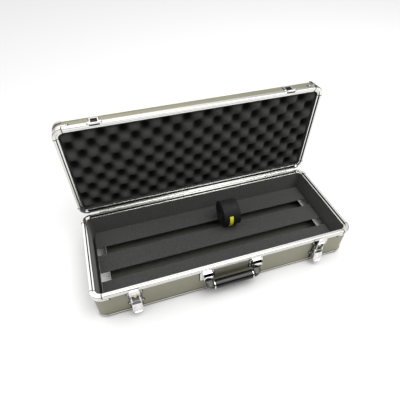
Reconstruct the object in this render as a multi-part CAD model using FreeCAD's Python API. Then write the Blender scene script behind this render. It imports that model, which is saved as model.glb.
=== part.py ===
import FreeCAD, Part
import math
import os

os.makedirs("parts", exist_ok=True)

# A hard pedalboard case: a shallow base and lid joined by a piano hinge, a lift-out slotted
# deck with hook-and-loop strips, two key latches, a drop handle and a spare roll of tape.
# Everything is built with the lid closed and the case's front lower edge at Y = 0, Z = 0.
# X runs along the case and is centred, Y runs from the front to the hinge, Z is up.
# At the end the lid is swung open and the whole case is moved onto its own origin.

# ---------- driving dimensions, millimetres ----------
CASE_LENGTH = 610.0
CASE_DEPTH = 238.0
BASE_HEIGHT = 80.0
LID_HEIGHT = 33.0
CORNER_R = 22.0
RIM_GAP = 0.5
LID_OPEN_DEG = 90.0

PANEL_INSET = 1.5
PANEL_T = 5.0
SKIN_T = 4.2
LINING_T = 5.0
LID_LINING_T = 4.2
FLOOR_LINING_T = 3.0

RIM_WIDTH = 10.8
RIM_BEAD = 6.2
RIM_STEP = 3.0
RIM_CAP = 6.0
RIM_FLANGE = 11.0
CASTING_PROUD = 1.2
CASTING_FLANGE = 14.0
TAIL_LENGTH = 13.0
TAIL_DROP = 17.0

EDGE_T = 0.8
EDGE_INSET = 0.3
EDGE_LEG = 4.0
EDGE_RETURN = 8.0

FOOT_R = 7.0
FOOT_DROP = 3.5
FOOT_FROM_END = 26.0
FOOT_FROM_SIDE = 22.0
FOOT_BORE_R = 1.6
FOOT_SINK_R = 3.1
FOOT_SINK = 1.8
SCREW_HEAD_R = 2.9
SCREW_HEAD_H = 1.3
SCREW_SHANK_R = 1.5

HINGE_BACK = 2.0
KNUCKLE_R = 1.9
HINGE_PIN_R = 0.9
HINGE_RUNNING = 0.05
HINGE_LENGTH = 520.0
KNUCKLE_COUNT = 26
KNUCKLE_GAP = 0.3
LEAF_T = 0.9
LEAF_START = 2.2
LEAF_HEIGHT = 12.0
HINGE_RIVETS = 7

LATCH_X = 219.0
LEVER_PIVOT_Y = -4.5
LEVER_PIVOT_Z = 46.0
CLAW_PIVOT_DROP = 6.0
LEVER_REST_DEG = 12.0
CLAW_SHARE = 0.2
PLATE_T = 1.2
CHEEK_X = 11.0
PIN_R = 1.0
RUNNING = 0.05
EYE_R = PIN_R + RUNNING
LOCK_Z = 57.0
BARREL_R = 3.0
KEEPER_LIP = 4.2

HANDLE_X = 58.5
PIVOT_Y = -5.2
PIVOT_Z = 49.0
GRIP_Y = -12.8
GRIP_Z = 30.0
GRIP_R = 10.5
GRIP_HALF = 44.7
RING_R = 10.9
RING_W = 2.8
ELBOW_R = 8.9
ELBOW_BEND = 9.2
KNOB_R = 3.2
NECK_TOP = 43.5
HANDLE_PIN_R = 1.5
HOOD_X = 10.4
HOOD_T = 1.2
HOOD_MOUTH = 3.8
HOOD_SLOT_X = 8.0
BRACKET_X = 16.5

DECK_LENGTH = 570.0
DECK_SHEET = 1.5
STRIP_WIDTH = 50.0
STRIP_T = 1.5
SLOT_WIDTH = 24.0
SLOT_LENGTH = 526.0
DECK_MARGIN = 1.0
DECK_TOP = 34.5
DECK_SHIFT = -4.5
DECK_RETURN = 10.0

ROLL_R = 34.0
ROLL_WIDTH = 42.0
ROLL_X = 49.0
ROLL_CORE_R = 13.0
ROLL_CORE_T = 1.5
ROLL_CLEAR = 0.3
LABEL_WIDTH = 9.0
LABEL_SHIFT = -3.5
LABEL_T = 0.5
LABEL_FROM_DEG = 153.0
LABEL_TO_DEG = 214.0

FOAM_INSET = 11.2
FOAM_TOP = 4.0
RIVET_R = 1.7
RIVET_H = 0.9

# ---------- worked out from the driving dimensions ----------
HALF = CASE_LENGTH / 2
LINING_FACE = PANEL_INSET + PANEL_T
LINED_FACE = LINING_FACE + LINING_T
FLOOR_Z = EDGE_T + SKIN_T
FLOOR_TOP = FLOOR_Z + FLOOR_LINING_T
HINGE_Y = CASE_DEPTH + HINGE_BACK
HINGE_Z = BASE_HEIGHT + RIM_GAP / 2
DECK_Y = CASE_DEPTH / 2 + DECK_SHIFT
DECK_DEPTH = 3 * STRIP_WIDTH + 2 * SLOT_WIDTH + 2 * DECK_MARGIN
STRIP_PITCH = STRIP_WIDTH + SLOT_WIDTH
STRIP_TOP = DECK_TOP + STRIP_T

X_AXIS = FreeCAD.Vector(1, 0, 0)
Y_AXIS = FreeCAD.Vector(0, 1, 0)
Z_AXIS = FreeCAD.Vector(0, 0, 1)
SIDES = ("front", "rear", "left", "right")
CORNERS = ((-1, -1), (1, -1), (1, 1), (-1, 1))

parts = {}


def vec(x, y, z):
    return FreeCAD.Vector(x, y, z)


# ---------- outlines ----------
def outline(points, place):
    """A flat face from (a, b, radius) corners; place(a, b) gives each point in space."""
    edges = []
    ends = []
    count = len(points)
    for i in range(count):
        a, b, r = points[i]
        pa, pb, _ = points[i - 1]
        na, nb, _ = points[(i + 1) % count]
        if not r:
            ends.append(((a, b), (a, b), None))
            continue
        back = math.hypot(pa - a, pb - b)
        ahead = math.hypot(na - a, nb - b)
        ua, ub = (pa - a) / back, (pb - b) / back
        va, vb = (na - a) / ahead, (nb - b) / ahead
        half = math.acos(max(-1.0, min(1.0, ua * va + ub * vb))) / 2
        run = r / math.tan(half)
        ma, mb = ua + va, ub + vb
        size = math.hypot(ma, mb)
        reach = r / math.sin(half) - r
        first = (a + ua * run, b + ub * run)
        last = (a + va * run, b + vb * run)
        middle = (a + ma / size * reach, b + mb / size * reach)
        ends.append((first, last, middle))
    for i in range(count):
        first, last, middle = ends[i]
        if middle:
            edges.append(Part.Arc(place(*first), place(*middle), place(*last)).toShape())
        start = ends[(i + 1) % count][0]
        if math.hypot(start[0] - last[0], start[1] - last[1]) > 1e-6:
            edges.append(Part.LineSegment(place(*last), place(*start)).toShape())
    return Part.Face(Part.Wire(edges))


def sharp(points):
    return [(a, b, 0) for a, b in points]


def rectangle(a0, a1, b0, b1, r=0):
    return [(a0, b0, r), (a1, b0, r), (a1, b1, r), (a0, b1, r)]


def box(x0, x1, y0, y1, z0, z1):
    return Part.makeBox(x1 - x0, y1 - y0, z1 - z0, vec(x0, y0, z0))


def rod(axis, r, start, length):
    return Part.makeCylinder(r, length, start, axis)


def in_yz(points, x0, x1):
    """An outline drawn from the side, as thick as x0 to x1."""
    return outline(points, lambda y, z: vec(x0, y, z)).extrude(vec(x1 - x0, 0, 0))


def in_xz(points, y0, y1):
    """An outline drawn from the front, as thick as y0 to y1."""
    return outline(points, lambda x, z: vec(x, y0, z)).extrude(vec(0, y1 - y0, 0))


def in_xy(points, z0, z1):
    """An outline drawn from above, as thick as z0 to z1."""
    return outline(points, lambda x, y: vec(x, y, z0)).extrude(vec(0, 0, z1 - z0))


def plan_slab(inset, z0, z1):
    """A slab with the case's rounded outline, drawn in by inset."""
    r = CORNER_R - inset
    x = HALF - inset
    return in_xy(rectangle(-x, x, inset, CASE_DEPTH - inset, r), z0, z1)


# ---------- pieces that follow the case's outline ----------
def height_of(half_name, d):
    """Height of a point at depth d from the closing plane, in the base or in the closed lid."""
    if half_name == "base":
        return BASE_HEIGHT - d
    return BASE_HEIGHT + RIM_GAP + d


def straight(points, side, half_name):
    """A profile of (inset, depth) corners run along one side, between the rounded corners."""
    x = HALF - CORNER_R
    y0 = CORNER_R
    y1 = CASE_DEPTH - CORNER_R
    if side == "front":
        face = outline(points, lambda u, d: vec(-x, u, height_of(half_name, d)))
        return face.extrude(vec(2 * x, 0, 0))
    if side == "rear":
        face = outline(points, lambda u, d: vec(-x, CASE_DEPTH - u, height_of(half_name, d)))
        return face.extrude(vec(2 * x, 0, 0))
    if side == "left":
        face = outline(points, lambda u, d: vec(-HALF + u, y0, height_of(half_name, d)))
        return face.extrude(vec(0, y1 - y0, 0))
    face = outline(points, lambda u, d: vec(HALF - u, y0, height_of(half_name, d)))
    return face.extrude(vec(0, y1 - y0, 0))


def corner_centre(corner):
    sx, sy = corner
    y = CORNER_R if sy < 0 else CASE_DEPTH - CORNER_R
    return vec(sx * (HALF - CORNER_R), y, 0)


def turned(points, corner, half_name):
    """The same profile swept a quarter turn round one corner."""
    centre = corner_centre(corner)
    start = {(-1, -1): 180, (1, -1): 270, (1, 1): 0, (-1, 1): 90}[corner]
    a = math.radians(start)

    def place(u, d):
        r = CORNER_R - u
        return vec(centre.x + r * math.cos(a), centre.y + r * math.sin(a), height_of(half_name, d))

    return outline(points, place).revolve(centre, Z_AXIS, 90)


def group(shapes):
    return Part.makeCompound(shapes)


def shell_half(half_name, depth):
    """The panels, posts, rim, castings and edge trim of the base or of the lid."""
    wall_end = depth - EDGE_T - SKIN_T
    wall = rectangle(PANEL_INSET, PANEL_INSET + PANEL_T, RIM_CAP, wall_end)
    for side in ("front", "rear"):
        parts[f"{half_name}_{side}_panel"] = straight(wall, side, half_name)
    parts[f"{half_name}_side_panels"] = group(
        [straight(wall, side, half_name) for side in ("left", "right")]
    )
    parts[f"{half_name}_corner_posts"] = group([turned(wall, c, half_name) for c in CORNERS])

    z0, z1 = sorted((height_of(half_name, wall_end), height_of(half_name, depth - EDGE_T)))
    parts[f"{half_name}_outer_panel"] = plan_slab(PANEL_INSET, z0, z1)

    rim = [
        (0, 0, 1.6), (RIM_BEAD, 0, 1.2), (RIM_BEAD, RIM_STEP, 0), (RIM_WIDTH, RIM_STEP, 0.8),
        (RIM_WIDTH, RIM_CAP, 0), (PANEL_INSET, RIM_CAP, 0), (PANEL_INSET, RIM_FLANGE, 0),
        (0, RIM_FLANGE, 0.6),
    ]
    for side in ("front", "rear"):
        parts[f"{half_name}_rim_{side}"] = straight(rim, side, half_name)
    parts[f"{half_name}_rim_sides"] = group(
        [straight(rim, side, half_name) for side in ("left", "right")]
    )
    parts[f"{half_name}_rim_corners"] = group([rim_casting(c, half_name) for c in CORNERS])

    edge = sharp([
        (EDGE_INSET, depth - EDGE_LEG), (PANEL_INSET, depth - EDGE_LEG),
        (PANEL_INSET, depth - EDGE_T), (EDGE_RETURN, depth - EDGE_T),
        (EDGE_RETURN, depth), (EDGE_INSET, depth),
    ])
    parts[f"{half_name}_edge_strips"] = group([straight(edge, s, half_name) for s in SIDES])
    cap = [
        (-0.5, depth - EDGE_LEG - 3, 0.4), (PANEL_INSET, depth - EDGE_LEG - 3, 0),
        (PANEL_INSET, depth - EDGE_T, 0), (EDGE_RETURN + 2, depth - EDGE_T, 0),
        (EDGE_RETURN + 2, depth + 0.6, 0.4), (-0.5, depth + 0.6, 1.0),
    ]
    parts[f"{half_name}_edge_corners"] = group([turned(cap, c, half_name) for c in CORNERS])


def rim_casting(corner, half_name):
    """A cast corner that covers the rim's quarter turn, with a riveted tail on each side."""
    profile = [
        (-CASTING_PROUD, 0, 1.8), (RIM_BEAD + 0.3, 0, 0.8), (RIM_BEAD + 0.3, RIM_STEP - 0.4, 0),
        (RIM_WIDTH + 0.4, RIM_STEP - 0.4, 0.6), (RIM_WIDTH + 0.4, RIM_CAP, 0),
        (PANEL_INSET, RIM_CAP, 0), (PANEL_INSET, CASTING_FLANGE, 0),
        (-CASTING_PROUD, CASTING_FLANGE, 1.0),
    ]
    casting = turned(profile, corner, half_name)
    sx, sy = corner
    top, bottom = RIM_FLANGE + 0.1, TAIL_DROP
    z0, z1 = sorted((height_of(half_name, top), height_of(half_name, bottom)))
    x0 = HALF - CORNER_R - TAIL_LENGTH
    x1 = HALF - CORNER_R
    tail = in_xz(
        [(x0, z0, 2.5), (x1 + 1.5, z0, 0), (x1 + 1.5, z1, 0), (x0, z1, 2.5)], 0.1, PANEL_INSET
    )
    y0 = CORNER_R + TAIL_LENGTH
    y1 = CORNER_R
    side_tail = in_yz(
        [(y0, z0, 2.5), (y1 - 1.5, z0, 0), (y1 - 1.5, z1, 0), (y0, z1, 2.5)],
        HALF - PANEL_INSET, HALF - 0.1,
    )
    if sx < 0:
        tail = tail.mirror(vec(0, 0, 0), X_AXIS)
        side_tail = side_tail.mirror(vec(0, 0, 0), X_AXIS)
    if sy > 0:
        middle = vec(0, CASE_DEPTH / 2, 0)
        tail = tail.mirror(middle, Y_AXIS)
        side_tail = side_tail.mirror(middle, Y_AXIS)
    return casting.fuse([tail, side_tail]).removeSplitter()


# ---------- rivets ----------
def rivet(at, outward):
    """A domed rivet head, flat on its surface."""
    base = Part.makeCylinder(RIVET_R, RIVET_H * 0.4, at, outward)
    dome = Part.makeCone(
        RIVET_R, RIVET_R * 0.45, RIVET_H * 0.6, at + outward * (RIVET_H * 0.4), outward
    )
    return base.fuse(dome).removeSplitter()


def casting_rivets(half_name):
    out = []
    z = height_of(half_name, (RIM_FLANGE + 0.1 + TAIL_DROP) / 2)
    x = HALF - CORNER_R - TAIL_LENGTH / 2 - 2
    for sx in (-1, 1):
        for y, way in ((0.1, -1), (CASE_DEPTH - 0.1, 1)):
            out.append(rivet(vec(sx * x, y, z), vec(0, way, 0)))
        for y in (CORNER_R + TAIL_LENGTH / 2 + 2, CASE_DEPTH - CORNER_R - TAIL_LENGTH / 2 - 2):
            out.append(rivet(vec(sx * (HALF - 0.1), y, z), vec(sx, 0, 0)))
    return out


def hinge_rivets(half_name):
    z = height_of(half_name, LEAF_START + LEAF_HEIGHT * 0.62)
    step = (HINGE_LENGTH - 40) / (HINGE_RIVETS - 1)
    first = -(HINGE_LENGTH - 40) / 2
    y = CASE_DEPTH + LEAF_T
    return [rivet(vec(first + i * step, y, z), Y_AXIS) for i in range(HINGE_RIVETS)]


# ---------- linings and foam ----------
def make_linings():
    wall_top = BASE_HEIGHT - RIM_CAP
    outer = plan_slab(LINING_FACE, FLOOR_TOP, wall_top)
    parts["base_wall_lining"] = outer.cut(plan_slab(LINED_FACE, FLOOR_TOP, wall_top))
    parts["base_floor_lining"] = plan_slab(LINING_FACE, FLOOR_Z, FLOOR_TOP)
    low = height_of("lid", RIM_CAP)
    high = height_of("lid", LID_HEIGHT - EDGE_T - SKIN_T)
    outer = plan_slab(LINING_FACE, low, high)
    parts["lid_wall_lining"] = outer.cut(plan_slab(LINING_FACE + LID_LINING_T, low, high))
    parts["lid_egg_crate_foam"] = plan_slab(FOAM_INSET, height_of("lid", FOAM_TOP), high)


# ---------- feet ----------
def make_feet():
    feet, screws = [], []
    for sx in (-1, 1):
        for y in (FOOT_FROM_SIDE, CASE_DEPTH - FOOT_FROM_SIDE):
            at = vec(sx * (HALF - FOOT_FROM_END), y, -FOOT_DROP)
            foot = Part.makeCone(FOOT_R - 0.8, FOOT_R, FOOT_DROP + EDGE_T, at, Z_AXIS)
            foot = foot.cut(rod(Z_AXIS, FOOT_BORE_R, at, FOOT_DROP + EDGE_T))
            feet.append(foot.cut(rod(Z_AXIS, FOOT_SINK_R, at, FOOT_SINK)))
            head_z = FOOT_SINK - SCREW_HEAD_H
            head = rod(Z_AXIS, SCREW_HEAD_R, at + vec(0, 0, head_z), SCREW_HEAD_H)
            shank = rod(Z_AXIS, SCREW_SHANK_R, at + vec(0, 0, FOOT_SINK),
                        FOOT_DROP + EDGE_T - FOOT_SINK)
            cross = box(-1.8, 1.8, -0.35, 0.35, 0, 0.6)
            cross = cross.fuse(box(-0.35, 0.35, -1.8, 1.8, 0, 0.6))
            cross.translate(at + vec(0, 0, head_z))
            screws.append(head.fuse(shank).cut(cross))
    parts["base_feet"] = group(feet)
    parts["base_foot_screws"] = group(screws)


# ---------- piano hinge ----------
def hinge_leaf(half_name, first):
    z0, z1 = sorted((height_of(half_name, LEAF_START), height_of(half_name, LEAF_HEIGHT)))
    x = HINGE_LENGTH / 2
    leaf = box(-x, x, CASE_DEPTH, CASE_DEPTH + LEAF_T, z0, z1)
    pitch = HINGE_LENGTH / KNUCKLE_COUNT
    near = z1 if half_name == "base" else z0
    solids = []
    for i in range(first, KNUCKLE_COUNT, 2):
        x0 = -x + i * pitch + KNUCKLE_GAP / 2
        length = pitch - KNUCKLE_GAP
        solids.append(rod(X_AXIS, KNUCKLE_R, vec(x0, HINGE_Y, HINGE_Z), length))
        low, high = sorted((near, HINGE_Z))
        solids.append(box(x0, x0 + length, CASE_DEPTH + 0.1, CASE_DEPTH + LEAF_T, low, high))
    leaf = leaf.fuse(solids).removeSplitter()
    bore = rod(X_AXIS, HINGE_PIN_R + HINGE_RUNNING, vec(-x - 1, HINGE_Y, HINGE_Z), 2 * x + 2)
    return leaf.cut(bore)


def make_hinge():
    parts["hinge_base_leaf"] = hinge_leaf("base", 0)
    parts["hinge_lid_leaf"] = hinge_leaf("lid", 1)
    x = HINGE_LENGTH / 2
    parts["hinge_pin"] = rod(X_AXIS, HINGE_PIN_R, vec(-x, HINGE_Y, HINGE_Z), 2 * x)


# ---------- latches ----------
def latch_plate():
    """Base plate with two cheeks, drawn about the latch's own middle."""
    half = 12.2
    ear = 16.4
    right = [
        (half, 4, 6), (half, 21.5, 1.5), (ear, 25, 2.4), (ear, 31, 2.4), (half, 34.5, 1.5),
        (half, 56, 1.5), (ear, 59.5, 2.4), (ear, 67.5, 2.4),
    ]
    left = [(-x, z, r) for x, z, r in reversed(right)]
    plate = in_xz(right + left, PANEL_INSET - PLATE_T, PANEL_INSET)
    y = PANEL_INSET - PLATE_T
    cheek = [(y, 10, 0), (-3.5, 12, 2), (-6.6, 36, 3), (-6.6, 50, 3), (-3, 60, 3), (y, 62, 0)]
    shapes = []
    for x0 in (CHEEK_X, -CHEEK_X - PLATE_T):
        side = in_yz(cheek, x0, x0 + PLATE_T)
        shapes.append(side.cut(rod(X_AXIS, PIN_R, vec(x0, LEVER_PIVOT_Y, LEVER_PIVOT_Z), PLATE_T)))
    return plate.fuse(shapes).removeSplitter()


def latch_lever():
    """The flap that is pulled out and up, with two ears that carry both pins."""
    flap = in_xz(
        [(-10.4, 35, 1.5), (10.4, 35, 1.5), (11.6, 16, 4), (8, 8, 4), (-8, 8, 4),
         (-11.6, 16, 4)],
        -8.4, -7.0,
    )
    curl = in_yz([(-7.0, 8, 0), (-8.4, 8.2, 0), (-10.6, 9.4, 0.6), (-10.4, 10.8, 0.6),
                  (-8.4, 12, 0), (-7.0, 12, 0)], -7.0, 7.0)
    ear_face = [(-7.6, 26, 0.5), (-7.6, 37.5, 3), (-6.8, 48.6, 2), (-1.9, 48.6, 2.2),
                (-1.9, 37.5, 2.5), (-5, 27, 1)]
    shapes = [curl]
    for x0 in (9.6, -10.7):
        shapes.append(in_yz(ear_face, x0, x0 + 1.1))
    lever = flap.fuse(shapes).removeSplitter()
    for z in (LEVER_PIVOT_Z, LEVER_PIVOT_Z - CLAW_PIVOT_DROP):
        lever = lever.cut(rod(X_AXIS, EYE_R, vec(-11, LEVER_PIVOT_Y, z), 22))
    return lever


def latch_claw():
    """A yoke: two legs on the lower pin and a tray-shaped head with a hook along its top."""
    pin_z = LEVER_PIVOT_Z - CLAW_PIVOT_DROP
    leg = [(-6.1, 70, 0), (-6.1, pin_z - 1.6, 1.5), (-2.9, pin_z - 1.6, 1.5), (-2.9, 66, 1),
           (-4.8, 68, 0), (-4.8, 70, 0)]
    shapes = [in_yz(leg, x0, x0 + 1.4) for x0 in (7.8, -9.2)]
    head = in_xz(rectangle(-11, 11, 66.5, 84, 1.6), -6.8, -4.8)
    tray = in_xz(rectangle(-8.8, 8.8, 69, 81.5, 1.0), -6.8, -6.0)
    hook = in_yz([(-6.8, 82.4, 0), (-1.8, 82.4, 0.3), (-1.8, 84, 0.3), (-6.8, 84, 0)], -8.5, 8.5)
    claw = head.cut(tray).fuse(shapes + [hook]).removeSplitter()
    return claw.cut(rod(X_AXIS, EYE_R, vec(-10, LEVER_PIVOT_Y, pin_z), 20))


def lock_housing():
    y = PANEL_INSET - PLATE_T
    housing = in_xz(rectangle(-7.3, 7.3, LOCK_Z - 6, LOCK_Z + 6.5, 1.5), -4.6, y)
    return housing.cut(rod(Y_AXIS, BARREL_R + RUNNING, vec(0, -4.6, LOCK_Z), 5.0))


def key_barrel():
    y = PANEL_INSET - PLATE_T
    barrel = rod(Y_AXIS, BARREL_R, vec(0, -5.6, LOCK_Z), 5.6 + y)
    slot = box(-0.4, 0.4, -5.6, -4.4, LOCK_Z - 1.7, LOCK_Z + 1.7)
    return barrel.cut(slot)


def keeper():
    """The plate on the lid's front that the claw hooks under, drawn with the lid closed."""
    low = BASE_HEIGHT + RIM_GAP + 0.1
    plate = in_xz(
        [(-9, low, 0), (9, low, 0), (9, low + 1.5, 0), (15, low + 2.5, 2), (15, low + 9.5, 2),
         (9.5, low + 10.8, 0), (9.5, low + 24, 3), (-9.5, low + 24, 3), (-9.5, low + 10.8, 0),
         (-15, low + 9.5, 2), (-15, low + 2.5, 2), (-9, low + 1.5, 0)],
        -PLATE_T, 0,
    )
    lip = in_yz([(-PLATE_T, low, 0), (-PLATE_T, low + 1.4, 0), (-KEEPER_LIP, low + 1.4, 0.4),
                 (-KEEPER_LIP, low, 0.4)], -9, 9)
    window = in_xz(rectangle(-7, 7, low + 3.2, low + 9.6, 1), -PLATE_T - 1, 1)
    slot = in_xz(rectangle(-6.5, 6.5, low + 13.4, low + 17, 1.2), -PLATE_T - 1, 1)
    return plate.fuse(lip).cut(window).cut(slot).removeSplitter()


def swing(shape, y, z, degrees):
    """A copy turned about a pin along X, positive outwards and up."""
    out = shape.copy()
    out.rotate(vec(0, y, z), X_AXIS, -degrees)
    return out


def claw_at_rest(claw):
    """The claw goes with its pin as the lever stands a little off its plate, and leans out."""
    pin_z = LEVER_PIVOT_Z - CLAW_PIVOT_DROP
    tilted = swing(claw, LEVER_PIVOT_Y, pin_z, -CLAW_SHARE * LEVER_REST_DEG)
    turn = math.radians(LEVER_REST_DEG)
    out = -CLAW_PIVOT_DROP * math.sin(turn)
    up = CLAW_PIVOT_DROP * (1 - math.cos(turn))
    tilted.translate(vec(0, out, up))
    return tilted


def make_latches():
    plate = latch_plate()
    lever = swing(latch_lever(), LEVER_PIVOT_Y, LEVER_PIVOT_Z, LEVER_REST_DEG)
    claw = claw_at_rest(latch_claw())
    pin_z = LEVER_PIVOT_Z - CLAW_PIVOT_DROP
    claw_pin = rod(X_AXIS, PIN_R, vec(-10.7, LEVER_PIVOT_Y, pin_z), 21.4)
    claw_pin = swing(claw_pin, LEVER_PIVOT_Y, LEVER_PIVOT_Z, LEVER_REST_DEG)
    stubs = [rod(X_AXIS, PIN_R, vec(x, LEVER_PIVOT_Y, LEVER_PIVOT_Z), 2.6) for x in (-12.2, 9.6)]
    lever_pins, housings = [], []
    for name, sx in (("left", -1), ("right", 1)):
        shift = vec(sx * LATCH_X, 0, 0)
        pieces = {
            f"latch_plate_{name}": plate, f"latch_lever_{name}": lever,
            f"latch_claw_{name}": claw, f"latch_claw_pin_{name}": claw_pin,
            f"key_barrel_{name}": key_barrel(),
        }
        for node, shape in pieces.items():
            parts[node] = shape.translated(shift)
        lever_pins += [s.translated(shift) for s in stubs]
        housings.append(lock_housing().translated(shift))
    parts["latch_lever_pins"] = group(lever_pins)
    parts["lock_housings"] = group(housings)
    parts["lid_keepers"] = group([keeper().translated(vec(s * LATCH_X, 0, 0)) for s in (-1, 1)])


def latch_rivets():
    y = PANEL_INSET - PLATE_T
    out = []
    for sx in (-1, 1):
        for dx in (-14.2, 14.2):
            for z in (28.0, 63.5):
                out.append(rivet(vec(sx * LATCH_X + dx, y, z), vec(0, -1, 0)))
    return out


def keeper_rivets():
    z = BASE_HEIGHT + RIM_GAP + 6.1
    return [
        rivet(vec(sx * LATCH_X + dx, -PLATE_T, z), vec(0, -1, 0))
        for sx in (-1, 1) for dx in (-12.2, 12.2)
    ]


# ---------- handle ----------
def handle_bracket():
    """A plate with a hood over the handle's pivot, drawn about its own middle."""
    y = PANEL_INSET - PLATE_T
    plate = in_xz(rectangle(-BRACKET_X, BRACKET_X, 39, 68, 2.5), y, PANEL_INSET)
    side = [(y, 41, 0), (-7.5, 41, 3), (-9.8, 49, 2), (-9.8, 60, 1.5), (-4, 66, 1.5), (y, 66, 0)]
    hood = in_yz(side, -HOOD_X, HOOD_X)
    inside = [(y, 40, 0), (-8.6, 40, 0), (-8.6, 59.6, 0.8), (-3.5, 64.8, 0.8), (y, 64.8, 0)]
    hood = hood.cut(in_yz(inside, -HOOD_X + HOOD_T, HOOD_X - HOOD_T))
    mouth = box(-HOOD_X + HOOD_T, HOOD_X - HOOD_T, -12, -6, 38, PIVOT_Z + HOOD_MOUTH)
    slot = box(-HOOD_SLOT_X, HOOD_SLOT_X, -12, -3.4, 60, 64.8)
    hood = hood.cut(mouth).cut(slot)
    bore = rod(X_AXIS, HANDLE_PIN_R, vec(-HOOD_X, PIVOT_Y, PIVOT_Z), 2 * HOOD_X)
    return plate.fuse(hood).cut(bore).removeSplitter()


def handle_arm():
    """One end of the handle, from its pivot down round the elbow to the grip's collar."""
    knuckle = rod(X_AXIS, KNOB_R, vec(HANDLE_X - 8.6, PIVOT_Y, PIVOT_Z), 17.2)
    bend_x = GRIP_HALF + RING_W
    circle = Part.Wire(Part.makeCircle(ELBOW_R, vec(bend_x, GRIP_Y, GRIP_Z), X_AXIS))
    elbow = Part.Face(circle).revolve(
        vec(bend_x, GRIP_Y, GRIP_Z + ELBOW_BEND), vec(0, -1, 0), 90
    )
    top = GRIP_Z + ELBOW_BEND
    neck_x = bend_x + ELBOW_BEND
    lower = Part.Wire(Part.makeCircle(ELBOW_R, vec(neck_x, GRIP_Y, top), Z_AXIS))
    step = rectangle(HANDLE_X - 8.2, HANDLE_X + 8.2, PIVOT_Y - 3.0, PIVOT_Y + 2.4, 1)
    upper = outline(step, lambda x, y: vec(x, y, NECK_TOP)).OuterWire
    neck = Part.makeLoft([lower, upper], True)
    stub = in_xy(step, NECK_TOP, PIVOT_Z)
    arm = elbow.fuse([neck, stub, knuckle]).removeSplitter()
    bore = rod(X_AXIS, HANDLE_PIN_R + RUNNING, vec(HANDLE_X - 10, PIVOT_Y, PIVOT_Z), 20)
    return arm.cut(bore)


def make_handle():
    bracket = handle_bracket()
    arm = handle_arm()
    mirror_arm = arm.mirror(vec(0, 0, 0), X_AXIS)
    pins = []
    for name, sx, shape in (("left", -1, mirror_arm), ("right", 1, arm)):
        parts[f"handle_bracket_{name}"] = bracket.translated(vec(sx * HANDLE_X, 0, 0))
        parts[f"handle_arm_{name}"] = shape
        start = vec(sx * HANDLE_X - HOOD_X, PIVOT_Y, PIVOT_Z)
        pins.append(rod(X_AXIS, HANDLE_PIN_R, start, 2 * HOOD_X))
    parts["handle_pins"] = group(pins)
    profile = [(-GRIP_HALF, 0, 0), (GRIP_HALF, 0, 0), (GRIP_HALF, GRIP_R, 0.8),
               (-GRIP_HALF, GRIP_R, 0.8)]
    face = outline(profile, lambda x, r: vec(x, GRIP_Y - r, GRIP_Z))
    parts["handle_grip"] = face.revolve(vec(0, GRIP_Y, GRIP_Z), X_AXIS, 360)
    rings = []
    for x0 in (-GRIP_HALF - RING_W, GRIP_HALF):
        ring = outline(
            [(x0, 0, 0), (x0 + RING_W, 0, 0), (x0 + RING_W, RING_R, 0.9), (x0, RING_R, 0.9)],
            lambda x, r: vec(x, GRIP_Y - r, GRIP_Z),
        )
        rings.append(ring.revolve(vec(0, GRIP_Y, GRIP_Z), X_AXIS, 360))
    parts["handle_rings"] = group(rings)


def bracket_rivets():
    y = PANEL_INSET - PLATE_T
    return [
        rivet(vec(sx * HANDLE_X + dx, y, z), vec(0, -1, 0))
        for sx in (-1, 1) for dx in (-13.8, 13.8) for z in (44.5, 64.3)
    ]


# ---------- deck ----------
def make_deck():
    """A bent sheet with two long slots, standing on its front and rear flanges."""
    y0 = DECK_Y - DECK_DEPTH / 2
    y1 = DECK_Y + DECK_DEPTH / 2
    t = DECK_SHEET
    low = FLOOR_TOP
    lip = DECK_RETURN
    section = [
        (y0, low, 2.5), (y0, DECK_TOP, 3), (y1, DECK_TOP, 3), (y1, low, 2.5),
        (y1 - lip, low, 0), (y1 - lip, low + t, 0), (y1 - t, low + t, 1),
        (y1 - t, DECK_TOP - t, 1.5), (y0 + t, DECK_TOP - t, 1.5), (y0 + t, low + t, 1),
        (y0 + lip, low + t, 0), (y0 + lip, low, 0),
    ]
    half = DECK_LENGTH / 2
    deck = in_yz(section, -half, half)
    for way in (-0.5, 0.5):
        middle = DECK_Y + way * STRIP_PITCH
        slot = rectangle(
            -SLOT_LENGTH / 2, SLOT_LENGTH / 2, middle - SLOT_WIDTH / 2, middle + SLOT_WIDTH / 2, 1.0
        )
        deck = deck.cut(in_xy(slot, DECK_TOP - 3 * t, DECK_TOP + t))
    parts["pedal_deck"] = deck
    for name, way in (("front", -1), ("middle", 0), ("rear", 1)):
        middle = DECK_Y + way * STRIP_PITCH
        strip = rectangle(
            -half + 1, half - 1, middle - STRIP_WIDTH / 2, middle + STRIP_WIDTH / 2, 0.8
        )
        parts[f"loop_strip_{name}"] = in_xy(strip, DECK_TOP, STRIP_TOP)


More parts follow.
